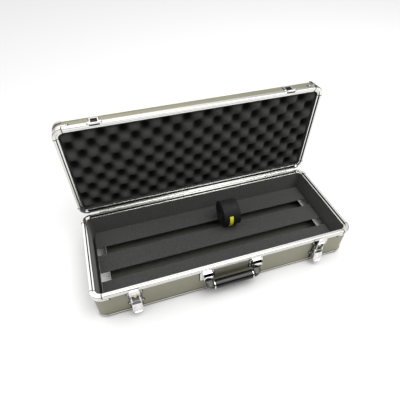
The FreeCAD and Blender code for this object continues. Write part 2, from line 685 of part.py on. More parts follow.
# ---------- roll of tape ----------
def make_roll():
    """A roll of hook tape lying in the rear slot, its round side on the slot's two edges."""
    middle_y = DECK_Y + STRIP_PITCH / 2
    reach = ROLL_R + ROLL_CLEAR
    middle_z = STRIP_TOP + math.sqrt(reach ** 2 - (SLOT_WIDTH / 2) ** 2)
    x0 = ROLL_X - ROLL_WIDTH / 2
    start = vec(x0, middle_y, middle_z)
    body = rod(X_AXIS, ROLL_R, start, ROLL_WIDTH)
    parts["tape_roll"] = body.cut(rod(X_AXIS, ROLL_CORE_R, start, ROLL_WIDTH))
    core = rod(X_AXIS, ROLL_CORE_R - 0.05, start, ROLL_WIDTH)
    parts["tape_core"] = core.cut(rod(X_AXIS, ROLL_CORE_R - ROLL_CORE_T, start, ROLL_WIDTH))
    a = math.radians(LABEL_FROM_DEG)
    left = ROLL_X + LABEL_SHIFT - LABEL_WIDTH / 2
    face = outline(
        rectangle(left, left + LABEL_WIDTH, ROLL_R + 0.02, ROLL_R + LABEL_T),
        lambda x, r: vec(x, middle_y + r * math.cos(a), middle_z + r * math.sin(a)),
    )
    parts["tape_label"] = face.revolve(
        vec(0, middle_y, middle_z), X_AXIS, LABEL_TO_DEG - LABEL_FROM_DEG
    )


# ---------- assembly ----------
LID_NODES = (
    "lid_front_panel", "lid_rear_panel", "lid_side_panels", "lid_corner_posts",
    "lid_outer_panel", "lid_rim_front", "lid_rim_rear", "lid_rim_sides", "lid_rim_corners",
    "lid_edge_strips", "lid_edge_corners", "lid_wall_lining", "lid_egg_crate_foam",
    "lid_keepers", "hinge_lid_leaf", "lid_rivets",
)

shell_half("base", BASE_HEIGHT)
shell_half("lid", LID_HEIGHT)
make_linings()
make_feet()
make_hinge()
make_latches()
make_handle()
make_deck()
make_roll()
parts["base_rivets"] = group(
    casting_rivets("base") + hinge_rivets("base") + latch_rivets() + bracket_rivets()
)
parts["lid_rivets"] = group(casting_rivets("lid") + hinge_rivets("lid") + keeper_rivets())

for node in LID_NODES:
    opened = parts[node].copy()
    opened.rotate(vec(0, HINGE_Y, HINGE_Z), X_AXIS, -LID_OPEN_DEG)
    parts[node] = opened

# the origin is the middle of the open case's footprint, on the plane of its feet
front = min(shape.BoundBox.YMin for shape in parts.values())
back = max(shape.BoundBox.YMax for shape in parts.values())
ORIGIN_SHIFT = vec(0, -(front + back) / 2, FOOT_DROP)

for node, shape in sorted(parts.items()):
    placed = shape.translated(ORIGIN_SHIFT)
    if not placed.isValid():
        print("not valid:", node)
    placed.exportStep(f"parts/{node}.step")
print("nodes", len(parts), "shift", ORIGIN_SHIFT)
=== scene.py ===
import math

import bmesh
import bpy
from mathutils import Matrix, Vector, noise


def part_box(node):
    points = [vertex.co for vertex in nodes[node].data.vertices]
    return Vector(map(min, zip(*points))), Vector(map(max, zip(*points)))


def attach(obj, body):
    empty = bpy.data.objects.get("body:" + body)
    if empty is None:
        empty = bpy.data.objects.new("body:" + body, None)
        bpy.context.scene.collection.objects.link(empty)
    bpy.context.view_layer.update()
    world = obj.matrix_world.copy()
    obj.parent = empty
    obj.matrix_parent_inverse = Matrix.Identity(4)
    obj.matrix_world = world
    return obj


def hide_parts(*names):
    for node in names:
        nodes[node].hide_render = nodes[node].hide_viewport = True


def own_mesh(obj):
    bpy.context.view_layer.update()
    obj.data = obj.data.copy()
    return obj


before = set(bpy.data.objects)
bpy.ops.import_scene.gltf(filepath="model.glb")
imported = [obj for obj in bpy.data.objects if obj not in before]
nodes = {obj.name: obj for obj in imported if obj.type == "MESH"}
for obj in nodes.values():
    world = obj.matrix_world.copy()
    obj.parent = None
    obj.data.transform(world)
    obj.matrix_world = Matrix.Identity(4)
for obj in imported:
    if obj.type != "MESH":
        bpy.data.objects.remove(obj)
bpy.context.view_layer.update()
MM = 0.001
SHADE_AND_GRIME = 0.03  # share of the colour left in the painted shade, with some grime, round fittings, at steps and along casting edges
SLOT_END = 263  # half the length of the deck's cable slots, in millimetres


# ---------- where fittings meet their panels: boxes for painted shade and grime ---
def fitting_boxes(half, spans):
    """Boxes from (x0, x1, in0, in1, deep0, deep1) spans in millimetres, for the base or the lid.

    in is measured inwards from the front face and deep away from the closing plane.
    """
    rim_low, rim_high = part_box(f"{half}_rim_front")
    boxes = []
    for x0, x1, in0, in1, deep0, deep1 in spans:
        if half == "base":
            low = (x0, rim_low.y / MM + in0, rim_high.z / MM - deep1)
            high = (x1, rim_low.y / MM + in1, rim_high.z / MM - deep0)
        else:
            low = (x0, rim_low.y / MM + deep0, rim_high.z / MM - in1)
            high = (x1, rim_low.y / MM + deep1, rim_high.z / MM - in0)
        boxes.append((Vector(low) * MM, Vector(high) * MM))
    return boxes


CASTINGS = [
    (283, 312, -2, 22, -1, 14), (283, 312, 216, 240, -1, 14),
    (270, 284.5, -2, 3, 11, 17), (270, 284.5, 235, 240, 11, 17),
    (302, 307, 20.5, 35, 11, 17), (302, 307, 203, 217.5, 11, 17),
]
# boxes whose inside edges get a painted shade line along the rim castings' edges
CASTING_EDGES = [
    (283, 322, -8, 22, -8, 14), (283, 322, 216, 248, -8, 14),
    (270, 290, -8, 8, 5, 17), (270, 290, 230, 248, 5, 17),
    (296, 322, 10, 35, 5, 17), (296, 322, 203, 228, 5, 17),
]
# a painted shade line at the foot of each rim's bead
BEAD_FOOT = [
    (0, 283, 6.2, 6.4, -1, 4), (0, 283, 231.6, 231.8, -1, 4), (298.6, 298.8, 22, 216, -1, 4),
]
LATCH_PLATE = [
    (206.8, 231.2, -3, 2.5, 12.5, 76), (202.6, 235.4, -3, 2.5, 49, 55),
    (202.6, 235.4, -3, 2.5, 12.5, 20.5),
]
BRACKET_PLATE = [(42, 75, -3, 2.5, 12, 41)]
KEEPER_PLATE = [(204, 234, -3, 2.5, 2.6, 9.6), (209.5, 228.5, -3, 2.5, -1, 24.1)]
# painted shade and grime round the fittings; on the base a painted shade line also runs above its
# edge strip
ON_PANELS = {
    "base": fitting_boxes(
        "base", CASTINGS + LATCH_PLATE + BRACKET_PLATE + [(0, 312, -2, 240, 75.2, 75.9)]
    ),
    "lid": fitting_boxes("lid", CASTINGS + KEEPER_PLATE),
}
ON_RIMS = {
    "base": fitting_boxes("base", CASTINGS + BEAD_FOOT),
    "lid": fitting_boxes("lid", CASTINGS + BEAD_FOOT + KEEPER_PLATE),
}
# painted shade round the castings on the trims; on the base a painted shade line also runs along
# the strip's bottom
ON_TRIMS = {
    "base": fitting_boxes("base", CASTINGS + [(0, 312, -2, 240, 79.0, 90)]),
    "lid": fitting_boxes("lid", CASTINGS),
}
# painted shade on the deck's ends, in the gap beside the side walls
DECK_ENDS = fitting_boxes("base", [(284.7, 286, 0, 238, 40, 76)])
# painted shade inside the handle bracket's hood
IN_HOOD = fitting_boxes("base", [(49.3, 67.7, -8.7, 0.4, 15.1, 42)])
# painted shade: a dark window on each keeper plate where a shaded opening would be; the plate has
# no opening there
IN_KEEPER = fitting_boxes("lid", [(211.8, 226.2, -8, 3, 1.5, 21.5)])


# these boxes carry the pale bare metal and painted highlight on the slots' cut ends
def slot_ends():
    """Boxes round the cut faces at the ends of the deck's two cable slots."""
    boxes = []
    for front, rear in (("front", "middle"), ("middle", "rear")):
        y0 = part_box(f"loop_strip_{front}")[1].y
        y1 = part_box(f"loop_strip_{rear}")[0].y
        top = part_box(f"loop_strip_{front}")[0].z
        low = ((SLOT_END - 0.4) * MM, y0, top - 4 * MM)
        high = ((SLOT_END + 0.1) * MM, y1, top + MM)
        boxes.append((Vector(low), Vector(high)))
    return boxes


# ---------- materials ----------
def map_range(tree, value, first, last, low, high):
    """Runs from low to high as value runs from first to last."""
    node = tree.nodes.new("ShaderNodeMapRange")
    tree.links.new(value, node.inputs["Value"])
    limits = (first, last, low, high)
    for key, limit in zip(("From Min", "From Max", "To Min", "To Max"), limits):
        node.inputs[key].default_value = limit
    return node.outputs["Result"]


class Finish:
    """A Principled material with helpers for the noises that vary it."""

    def __init__(self, name, color, roughness, metallic=0.0, **inputs):
        self.mat = bpy.data.materials.new(name)
        self.mat.use_nodes = True
        self.tree = self.mat.node_tree
        self.bsdf = self.tree.nodes["Principled BSDF"]
        self.bsdf.inputs["Base Color"].default_value = (*color, 1)
        self.bsdf.inputs["Roughness"].default_value = roughness
        self.bsdf.inputs["Metallic"].default_value = metallic
        for key, value in inputs.items():
            self.bsdf.inputs[key.replace("_", " ")].default_value = value
        self.coords = self.add("ShaderNodeTexCoord").outputs["Object"]
        self.height = None

    def add(self, kind, **settings):
        node = self.tree.nodes.new(kind)
        for key, value in settings.items():
            setattr(node, key, value)
        return node

    def link(self, a, b):
        self.tree.links.new(a, b)

    def stretched(self, scale):
        """Object coordinates scaled per axis, so that a noise becomes a grain."""
        mapping = self.add("ShaderNodeMapping")
        mapping.inputs["Scale"].default_value = scale
        self.link(self.coords, mapping.inputs["Vector"])
        return mapping.outputs["Vector"]

    def noise(self, scale, detail=3.0, rough=0.55, stretch=None):
        tex = self.add("ShaderNodeTexNoise")
        tex.inputs["Scale"].default_value = scale
        tex.inputs["Detail"].default_value = detail
        tex.inputs["Roughness"].default_value = rough
        self.link(self.stretched(stretch) if stretch else self.coords, tex.inputs["Vector"])
        return tex.outputs["Fac"]

    def cells(self, scale):
        tex = self.add("ShaderNodeTexVoronoi", feature="F1")
        tex.inputs["Scale"].default_value = scale
        self.link(self.coords, tex.inputs["Vector"])
        return tex.outputs["Distance"]

    def wave(self, scale, direction):
        tex = self.add("ShaderNodeTexWave", wave_type="BANDS", bands_direction=direction)
        tex.inputs["Scale"].default_value = scale
        self.link(self.coords, tex.inputs["Vector"])
        return tex.outputs["Fac"]

    def tone(self, fac, dark, light, low=0.35, high=0.65):
        """Base colour runs from dark to light with fac."""
        ramp = self.add("ShaderNodeValToRGB")
        ramp.color_ramp.elements[0].position = low
        ramp.color_ramp.elements[0].color = (*dark, 1)
        ramp.color_ramp.elements[1].position = high
        ramp.color_ramp.elements[1].color = (*light, 1)
        self.link(fac, ramp.inputs["Fac"])
        self.color = ramp.outputs["Color"]
        self.link(self.color, self.bsdf.inputs["Base Color"])

    def vector(self, operation, first, second):
        node = self.add("ShaderNodeVectorMath", operation=operation)
        self.link(first, node.inputs[0])
        node.inputs[1].default_value = second
        return node.outputs["Vector"]

    def pick(self, operation, first, second):
        node = self.add("ShaderNodeMath", operation=operation)
        self.link(first, node.inputs[0])
        self.link(second, node.inputs[1])
        return node.outputs["Value"]

    def near(self, boxes, first_mm, last_mm, inner, outer):
        """A value that runs from inner to outer between two distances outside the boxes.

        The boxes are (low, high) corners for the right-hand half, and are mirrored to the left.
        """
        split = self.add("ShaderNodeSeparateXYZ")
        self.link(self.coords, split.inputs["Vector"])
        side = self.add("ShaderNodeMath", operation="ABSOLUTE")
        self.link(split.outputs["X"], side.inputs[0])
        joined = self.add("ShaderNodeCombineXYZ")
        self.link(side.outputs["Value"], joined.inputs["X"])
        self.link(split.outputs["Y"], joined.inputs["Y"])
        self.link(split.outputs["Z"], joined.inputs["Z"])
        nearest = None
        for low, high in boxes:
            offset = self.vector("SUBTRACT", joined.outputs["Vector"], (low + high) / 2)
            away = self.vector("ABSOLUTE", offset, (0, 0, 0))
            over = self.add("ShaderNodeSeparateXYZ")
            self.link(self.vector("SUBTRACT", away, (high - low) / 2), over.inputs["Vector"])
            gap = self.pick("MAXIMUM", over.outputs["X"], over.outputs["Y"])
            gap = self.pick("MAXIMUM", gap, over.outputs["Z"])
            nearest = self.pick("MINIMUM", nearest, gap) if nearest else gap
        return map_range(self.tree, nearest, first_mm * MM, last_mm * MM, inner, outer)

    def creases(self, boxes, reach_mm):
        """Darkens the colour in the boxes and a little way round them: painted shade where parts
        meet and at steps, with some grime.
        """
        self.dim(self.near(boxes, 0.35 * reach_mm, reach_mm, SHADE_AND_GRIME, 1.0))

    def outlines(self, boxes):
        """Darkens the colour just inside the boxes, in a painted shade line along the edge of a
        casting.
        """
        self.dim(self.near(boxes, -1.5, -0.5, 1.0, SHADE_AND_GRIME))

    def bare_edge_and_highlight(self, boxes, reach_mm, color):
        """Paints pale rough metal in the boxes: the bare metal of a sheared edge, with a painted
        highlight on it.
        """
        finished = self.near(boxes, 0.0, reach_mm, 0.0, 1.0)
        mix = self.add("ShaderNodeMix", data_type="RGBA")
        mix.inputs[6].default_value = (*color, 1)
        self.link(finished, mix.inputs[0])
        self.link(self.color, mix.inputs[7])
        self.color = mix.outputs[2]
        self.link(self.color, self.bsdf.inputs["Base Color"])
        self.link(finished, self.bsdf.inputs["Metallic"])

    def dim(self, factor):
        """Scales the base colour by a factor."""
        dimmed = self.add("ShaderNodeVectorMath", operation="SCALE")
        self.link(self.color, dimmed.inputs[0])
        self.link(factor, dimmed.inputs["Scale"])
        self.color = dimmed.outputs["Vector"]
        self.link(self.color, self.bsdf.inputs["Base Color"])

    def gloss(self, fac, low, high):
        """Roughness runs from low to high with fac."""
        roughness = map_range(self.tree, fac, 0.3, 0.7, low, high)
        self.link(roughness, self.bsdf.inputs["Roughness"])

    def bump(self, fac, depth_mm, strength):
        """Adds a relief of the given depth; later calls stack on earlier ones."""
        node = self.add("ShaderNodeBump")
        node.inputs["Strength"].default_value = strength
        node.inputs["Distance"].default_value = depth_mm * MM
        self.link(fac, node.inputs["Height"])
        if self.height:
            self.link(self.height, node.inputs["Normal"])
        self.height = node.outputs["Normal"]
        self.link(self.height, self.bsdf.inputs["Normal"])
        return self


def scaled(color, factor):
    """The colour made darker or lighter by a factor."""
    return tuple(min(1.0, c * factor) for c in color)


def laminate(half):
    """Champagne laminate: a fine pebbled skin with a soft metallic sheen."""
    color = (0.27, 0.260, 0.192)
    f = Finish(f"champagne_laminate_{half}", color, 0.45, 0.6)
    f.tone(f.noise(9, 4), scaled(color, 0.94), scaled(color, 1.05))
    # painted shade and grime round the fittings on the panels
    f.creases(ON_PANELS[half], 2.8)
    f.gloss(f.noise(260, 2), 0.34, 0.46)
    f.bump(f.noise(1100, 2), 0.05, 0.5)
    return f.bump(f.noise(30, 2), 0.12, 0.4).mat


def brushed(name, color, grain, boxes, low=0.14, high=0.22, metallic=1.0):
    """Extruded or rolled aluminium, with fine draw lines along its length."""
    f = Finish(name, color, low, metallic)
    f.tone(f.noise(60, 3, stretch=grain), scaled(color, 0.9), scaled(color, 1.06))
    # painted shade and grime round the castings and fittings, and at the bead's foot
    f.creases(boxes, 1.2)
    f.gloss(f.noise(45, 3), low, high)
    return f.bump(f.noise(500, 2, stretch=grain), 0.006, 0.4).mat


def plated(name, color, low, high, grain_mm=0.8, depth_mm=0.02, boxes=(), outlined=()):
    """Plated pressed or cast metal, with a faint orange peel and rubbed patches."""
    f = Finish(name, color, low, 1.0)
    f.tone(f.noise(120, 3), scaled(color, 0.82), scaled(color, 1.05))
    if boxes:
        # painted shade and grime in the given boxes
        f.creases(boxes, 0.1)
    if outlined:
        # a painted shade line along the casting's edges
        f.outlines(outlined)
    f.gloss(f.noise(90, 4), low, high)
    return f.bump(f.noise(1000 / grain_mm, 2), depth_mm, 0.4).mat


def felt(name, color):
    """Short-napped felt: matt, slightly blotchy, with fibres."""
    f = Finish(
        name, color, 0.95, Sheen_Weight=0.25, Sheen_Roughness=0.6, Specular_IOR_Level=0.2
    )
    f.tone(f.noise(140, 5, 0.7), scaled(color, 0.78), scaled(color, 1.22))
    f.bump(f.noise(2200, 2, 0.8), 0.25, 0.5)
    return f.bump(f.noise(60, 3), 0.4, 0.3).mat


def open_foam():
    """Open-cell foam: cell pits all over, and painted shade that darkens the colour with depth
    below the peaks.
    """
    peak = (0.053, 0.053, 0.050)
    f = Finish(
        "egg_crate_foam_skin", peak, 1.0,
        Sheen_Weight=0.03, Sheen_Roughness=0.8, Specular_IOR_Level=0.15,
    )
    depth = f.add("ShaderNodeAttribute", attribute_name="rise").outputs["Fac"]
    # painted shade: the colour falls to near black down in the pits, by the rise attribute
    f.tone(depth, (0.001, 0.001, 0.001), peak, low=0.48, high=0.84)
    f.bump(f.cells(700), 0.5, 0.6)
    return f.bump(f.noise(1500, 2), 0.3, 0.5).mat


def loop_pile():
    """Loop tape: a dense mat of tiny loops over a plain weave."""
    color = (0.040, 0.040, 0.039)
    f = Finish(
        "loop_pile", color, 0.95, Sheen_Weight=0.4, Sheen_Roughness=0.5, Specular_IOR_Level=0.2
    )
    f.tone(f.noise(260, 4, 0.75), scaled(color, 0.72), scaled(color, 1.3))
    f.bump(f.cells(1300), 0.35, 0.6)
    return f.bump(f.noise(90, 3), 0.3, 0.35).mat


def hook_tape():
    """Hook tape: rows of stiff hooks across a woven band."""
    color = (0.010, 0.010, 0.0105)
    f = Finish("hook_tape", color, 0.62, Specular_IOR_Level=0.25)
    f.tone(f.noise(500, 3), scaled(color, 0.6), scaled(color, 1.7))
    f.gloss(f.noise(300, 2), 0.5, 0.75)
    f.bump(f.wave(190, "X"), 0.30, 0.5)
    return f.bump(f.cells(900), 0.35, 0.6).mat


def deck_metal():
    """Satin sheet with a faint grain along its length."""
    color = (0.40, 0.405, 0.40)
    f = Finish("deck_sheet", color, 0.3, 1.0)
    f.tone(f.noise(50, 3, stretch=(1, 9, 9)), scaled(color, 0.88), scaled(color, 1.08))
    # painted shade on the deck's ends
    f.creases(DECK_ENDS, 0.4)
    # bare metal and a painted highlight on the slots' cut ends
    f.bare_edge_and_highlight(slot_ends(), 0.2, (0.9, 0.9, 0.88))
    f.gloss(f.noise(70, 4), 0.19, 0.27)
    return f.bump(f.noise(400, 2), 0.006, 0.4).mat


def moulded(name, color, low, high, depth_mm=0.03, **inputs):
    """Moulded plastic or rubber."""
    f = Finish(name, color, low, **inputs)
    f.tone(f.noise(60, 3), scaled(color, 0.8), scaled(color, 1.25))
    f.gloss(f.noise(140, 3), low, high)
    return f.bump(f.noise(1200, 2), depth_mm, 0.5).mat


def board():
    """The roll's core: matt wound board."""
    color = (0.012, 0.012, 0.012)
    f = Finish("wound_board", color, 0.85)
    f.tone(f.noise(220, 4, stretch=(0.3, 1, 1)), scaled(color, 0.8), scaled(color, 1.15))
    return f.bump(f.noise(900, 3), 0.1, 0.5).mat


def paper():
    """A plain yellow paper tab."""
    color = (0.98, 0.90, 0.05)
    f = Finish("yellow_paper", color, 0.55)
    f.tone(f.noise(300, 4), scaled(color, 0.93), scaled(color, 1.05))
    return f.bump(f.noise(1600, 2), 0.03, 0.4).mat


def paint(names, mat):
    """Gives the material to every slot of the named CAD nodes."""
    for name in names:
        slots = nodes[name].material_slots
        for slot in slots:
            slot.material = mat
        if not slots:
            nodes[name].data.materials.append(mat)


LIGHT_METAL = (0.72, 0.72, 0.69)
ALONG_X = (0.04, 1, 1)
ALONG_Y = (1, 0.04, 1)
ALONG_Z = (1, 1, 0.04)

LAMINATE = {half: laminate(half) for half in ("base", "lid")}
RIM_X = {
    half: brushed(f"{half}_rim_drawn_along_x", LIGHT_METAL, ALONG_X, ON_RIMS[half])
    for half in ("base", "lid")
}
RIM_Y = brushed("base_rim_drawn_along_y", LIGHT_METAL, ALONG_Y, ON_RIMS["base"])
RIM_Z = brushed("lid_rim_drawn_along_z", LIGHT_METAL, ALONG_Z, ON_RIMS["lid"])
EDGE = {
    half: brushed(f"{half}_edge_trim", (0.74, 0.72, 0.64), ALONG_X, boxes, 0.35, 0.45, 0.1)
    for half, boxes in ON_TRIMS.items()
}
CASTING = {
    half: plated(
        f"{half}_casting", (0.74, 0.73, 0.70), 0.10, 0.22, 2.5, 0.01,
        outlined=fitting_boxes(half, CASTING_EDGES),
    )
    for half in ("base", "lid")
}
# the corner castings' colour made darker, for the edge corners
EDGE_CASTING = plated("darker_casting", (0.52, 0.50, 0.46), 0.12, 0.24, 2.5, 0.01)
CHROME = plated("bright_chrome", (0.80, 0.80, 0.79), 0.06, 0.16, 2.5, 0.006)
DARK_CAST = plated("dark_cast_chrome", (0.050, 0.050, 0.045), 0.20, 0.36, 2.6, 0.9)
# the bracket chrome carries painted shade inside its hood
HOOD = plated("bracket_chrome", (0.78, 0.78, 0.77), 0.08, 0.18, 2.5, 0.006, IN_HOOD)
# a darker chrome on the latch plates: painted shade for their recess
DARK_PLATE = plated("shaded_plate_chrome", (0.24, 0.24, 0.235), 0.12, 0.25, 2.5, 0.006)
# the keeper chrome carries the painted dark window
KEEPER = plated("keeper_chrome", (0.80, 0.80, 0.79), 0.06, 0.16, 2.5, 0.006, IN_KEEPER)
STEEL = plated("pin_steel", (0.55, 0.55, 0.55), 0.25, 0.4)
BRASS = plated("key_brass", (0.76, 0.58, 0.26), 0.18, 0.35)
LINING = felt("wall_felt", (0.045, 0.045, 0.036))
FOAM = open_foam()
LOOP = loop_pile()
HOOK = hook_tape()
DECK = deck_metal()
GRIP = moulded(
    "grip_plastic", (0.004, 0.004, 0.004), 0.14, 0.22, 0.01,
    Coat_Weight=0.2, Coat_Roughness=0.12, Specular_IOR_Level=0.3,
)
RUBBER = moulded("foot_rubber", (0.022, 0.022, 0.022), 0.6, 0.8, 0.08)
HOUSING = moulded("lock_housing_black", (0.006, 0.006, 0.006), 0.55, 0.7)
BOARD = board()
PAPER = paper()

for half in ("base", "lid"):
    panels = ("front_panel", "rear_panel", "side_panels", "corner_posts", "outer_panel")
    paint([f"{half}_{n}" for n in panels], LAMINATE[half])
    paint([f"{half}_rim_front", f"{half}_rim_rear"], RIM_X[half])
    paint([f"{half}_edge_strips"], EDGE[half])
    paint([f"{half}_rim_corners"], CASTING[half])
    paint([f"{half}_edge_corners"], EDGE_CASTING)
    paint([f"{half}_rivets"], CHROME)
paint(["base_rim_sides"], RIM_Y)
paint(["lid_rim_sides"], RIM_Z)
paint(["hinge_base_leaf", "hinge_lid_leaf"], RIM_X["base"])
paint(["hinge_pin", "handle_pins", "latch_lever_pins", "base_foot_screws"], STEEL)
paint(["handle_rings"], CHROME)
paint(["lid_keepers"], KEEPER)
paint(["handle_grip"], GRIP)
paint(["base_feet"], RUBBER)
paint(["lock_housings"], HOUSING)
paint(["pedal_deck"], DECK)
paint(["tape_core"], BOARD)
paint(["tape_label"], PAPER)
for side in ("left", "right"):
    paint([f"latch_{n}_{side}" for n in ("lever", "claw")], CHROME)
    paint([f"latch_plate_{side}"], DARK_PLATE)
    paint([f"latch_claw_pin_{side}"], STEEL)
    paint([f"key_barrel_{side}"], BRASS)
    paint([f"handle_bracket_{side}"], HOOD)
    paint([f"handle_arm_{side}"], DARK_CAST)


# ---------- mesh helpers ----------
def new_piece(name, points, faces, mat, smooth=True):
    mesh = bpy.data.meshes.new(name)
    mesh.from_pydata([tuple(p) for p in points], [], faces)
    mesh.validate()
    mesh.materials.append(mat)
    if smooth:
        mesh.shade_smooth()
    else:
        mesh.shade_flat()
    piece = bpy.data.objects.new(name, mesh)
    bpy.context.scene.collection.objects.link(piece)
    return piece


def ticks(half, step, edge):
    """Positions from -half to half, close together in a band of width edge at both ends."""
    near = [edge * t for t in (0.0, 0.12, 0.3, 0.55, 0.8)]
    inner = half - edge
    count = max(2, round(2 * inner / step))
    middle = [-inner + 2 * inner * i / count for i in range(count + 1)]
    return [-half + n for n in near] + middle + [half - n for n in reversed(near)]


def corner_inset(b, half_b, radius):
    """How far a rounded corner draws the outline in, at a distance b from the middle."""
    over = max(0.0, abs(b) - (half_b - radius))
    return radius - math.sqrt(max(0.0, radius * radius - over * over))


def relief_slab(name, half_a, half_b, radius, step, edge, height, place, mat):
    """A closed slab with rounded corners, whose top is a height field.

    place(a, b, h) puts a point in space, height(a, b) is the top's height over the flat back.
    """
    rows = ticks(half_b, step, edge)
    columns = ticks(half_a, step, edge)
    points, faces, rises = [], [], []
    for b in rows:
        narrow = corner_inset(b, half_b, radius)
        for a in columns:
            x = a * (half_a - narrow) / half_a
            h = height(x, b)
            rises.append(h)
            points.append(place(x, b, h))
    wide, tall = len(columns), len(rows)
    for j in range(tall - 1):
        for i in range(wide - 1):
            k = j * wide + i
            faces.append((k, k + 1, k + wide + 1, k + wide))
    border = list(range(wide))
    border += [j * wide + wide - 1 for j in range(1, tall)]
    border += [(tall - 1) * wide + i for i in range(wide - 2, -1, -1)]
    border += [j * wide for j in range(tall - 2, 0, -1)]
    first = len(points)
    for k in border:
        b = rows[k // wide]
        narrow = corner_inset(b, half_b, radius)
        a = columns[k % wide] * (half_a - narrow) / half_a
        points.append(place(a, b, 0.0))
        rises.append(0.0)
    count = len(border)
    for i in range(count):
        n = (i + 1) % count
        faces.append((border[n], border[i], first + i, first + n))
    faces.append(tuple(first + i for i in reversed(range(count))))
    piece = new_piece(name, points, faces, mat)
    peak = max(rises)
    rise = piece.data.attributes.new("rise", "FLOAT", "POINT")
    rise.data.foreach_set("value", [h / peak for h in rises])
    return piece


def outline_path(half_a, half_b, radius, step):
    """Points round a rounded rectangle, each with its outward normal."""
    path = []
    corners = ((1, -1, -90), (1, 1, 0), (-1, 1, 90), (-1, -1, 180))
    for i, (sa, sb, start) in enumerate(corners):
        ca, cb = sa * (half_a - radius), sb * (half_b - radius)
        for k in range(9):
            t = math.radians(start + 90 * k / 8)
            normal = (math.cos(t), math.sin(t))
            path.append(((ca + radius * normal[0], cb + radius * normal[1]), normal))
        na, nb, next_start = corners[(i + 1) % 4]
        t = math.radians(next_start)
        normal = (math.cos(t), math.sin(t))
        end = (
            na * (half_a - radius) + radius * normal[0],
            nb * (half_b - radius) + radius * normal[1],
        )
        last = path[-1][0]
        length = math.hypot(end[0] - last[0], end[1] - last[1])
        count = max(2, round(length / step))
        for k in range(1, count):
            f = k / count
            at = (last[0] + (end[0] - last[0]) * f, last[1] + (end[1] - last[1]) * f)
            path.append((at, normal))
    return path


def swept_band(name, path, section, place, mat):
    """A closed section of (out, up) points swept round a closed path."""
    points, faces = [], []
    count = len(section)
    for (a, b), (na, nb) in path:
        for out, up in section:
            points.append(place(a + na * out, b + nb * out, up))
    rings = len(path)
    for i in range(rings):
        n = (i + 1) % rings
        for k in range(count):
            m = (k + 1) % count
            faces.append((i * count + k, n * count + k, n * count + m, i * count + m))
    return new_piece(name, points, faces, mat)


def face_outwards(piece):
    """Turns every face to point out of the closed piece."""
    work = bmesh.new()
    work.from_mesh(piece.data)
    bmesh.ops.recalc_face_normals(work, faces=work.faces)
    work.to_mesh(piece.data)
    work.free()


def lining_section(thick, low, high, bulge):
    """A padded band: flat at its back, softly crowned in front, rounded along both edges."""
    soft = min(2.2, thick * 0.45) * MM
    back, front = 0.0, -thick * MM
    section = [(back, low), (back, high)]
    for t in (0.0, 0.35, 0.7, 1.0):
        a = t * math.pi / 2
        section.append((front + soft - soft * math.sin(a), high - soft + soft * math.cos(a)))
    for f in (0.85, 0.65, 0.5, 0.35, 0.15):
        crown = bulge * MM * math.sin(math.pi * f)
        section.append((front - crown, low + soft + (high - low - 2 * soft) * f))
    for t in (1.0, 0.7, 0.35, 0.0):
        a = t * math.pi / 2
        section.append((front + soft - soft * math.sin(a), low + soft - soft * math.cos(a)))
    return section


# ---------- linings, built in the case's own plan ----------
LINING_CORNER = 15.5 * MM
LINING_STEP = 6 * MM


def middle_of(node):
    """The middle of a node's box, and half its size."""
    low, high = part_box(node)
    return (low + high) / 2, (high - low) / 2


def make_base_linings():
    centre, half = middle_of("base_wall_lining")
    low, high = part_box("base_wall_lining")
    path = outline_path(half.x, half.y, LINING_CORNER, LINING_STEP)

    def place(a, b, up):
        wobble = 0.25 * MM * noise.noise(Vector((a * 30, b * 30, up * 45)))
        return (centre.x + a * (1 + wobble), centre.y + b * (1 + wobble), up)

    band = swept_band(
        "felt_wall_lining", path, lining_section(4.6, low.z, high.z, 0.35), place, LINING
    )
    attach(band, "case_base")
    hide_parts("base_wall_lining")

    floor_low, floor_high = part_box("base_floor_lining")
    floor_centre, floor_half = middle_of("base_floor_lining")
    thick = floor_high.z - floor_low.z

    def nap(a, b):
        return thick * (0.985 + 0.03 * noise.noise(Vector((a * 25, b * 25, 3))))

    floor = relief_slab(
        "felt_floor_lining", floor_half.x - 0.1 * MM, floor_half.y - 0.1 * MM, LINING_CORNER,
        9 * MM, 3 * MM, nap,
        lambda a, b, h: (floor_centre.x + a, floor_centre.y + b, floor_low.z + h), LINING,
    )
    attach(floor, "case_base")
    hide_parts("base_floor_lining")
    return band, floor


def make_lid_lining():
    centre, half = middle_of("lid_wall_lining")
    low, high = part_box("lid_wall_lining")
    path = outline_path(half.x, half.z, LINING_CORNER, LINING_STEP)
    band = swept_band(
        "felt_lid_lining", path, lining_section(3.9, low.y, high.y, 0.2),
        lambda a, b, up: (centre.x + a, up, centre.z + b), LINING,
    )
    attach(band, "lid")
    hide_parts("lid_wall_lining")
    return band


# ---------- egg-crate foam ----------
PEAK_PITCH = 47 * MM
VALLEY_SHARE = 0.16
PEAK_DRIFT = 2.6 * MM
FOAM_CORNER = 10.8 * MM
FOAM_STEP = 2.7 * MM


def make_foam():
    """Staggered rounded peaks and round pits, cut flush round the lid's outline."""
    centre, half = middle_of("lid_egg_crate_foam")
    low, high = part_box("lid_egg_crate_foam")
    deep = high.y - low.y
    turn = 2 * math.pi / PEAK_PITCH

    def height(a, b):
        a += PEAK_DRIFT * noise.noise(Vector((a * 14, b * 14, 1.0)))
        b += PEAK_DRIFT * noise.noise(Vector((a * 14, b * 14, 7.0)))
        wave = 0.5 + 0.5 * math.cos(turn * a) * math.cos(turn * b)
        return deep * (VALLEY_SHARE + (1 - VALLEY_SHARE) * wave ** 0.65)

    foam = relief_slab(
        "egg_crate_foam", half.x, half.z, FOAM_CORNER, FOAM_STEP, 2 * MM, height,
        lambda a, b, h: (centre.x + a, high.y - h, centre.z + b), FOAM,
    )
    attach(foam, "lid")
    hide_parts("lid_egg_crate_foam")
    return foam, centre, high


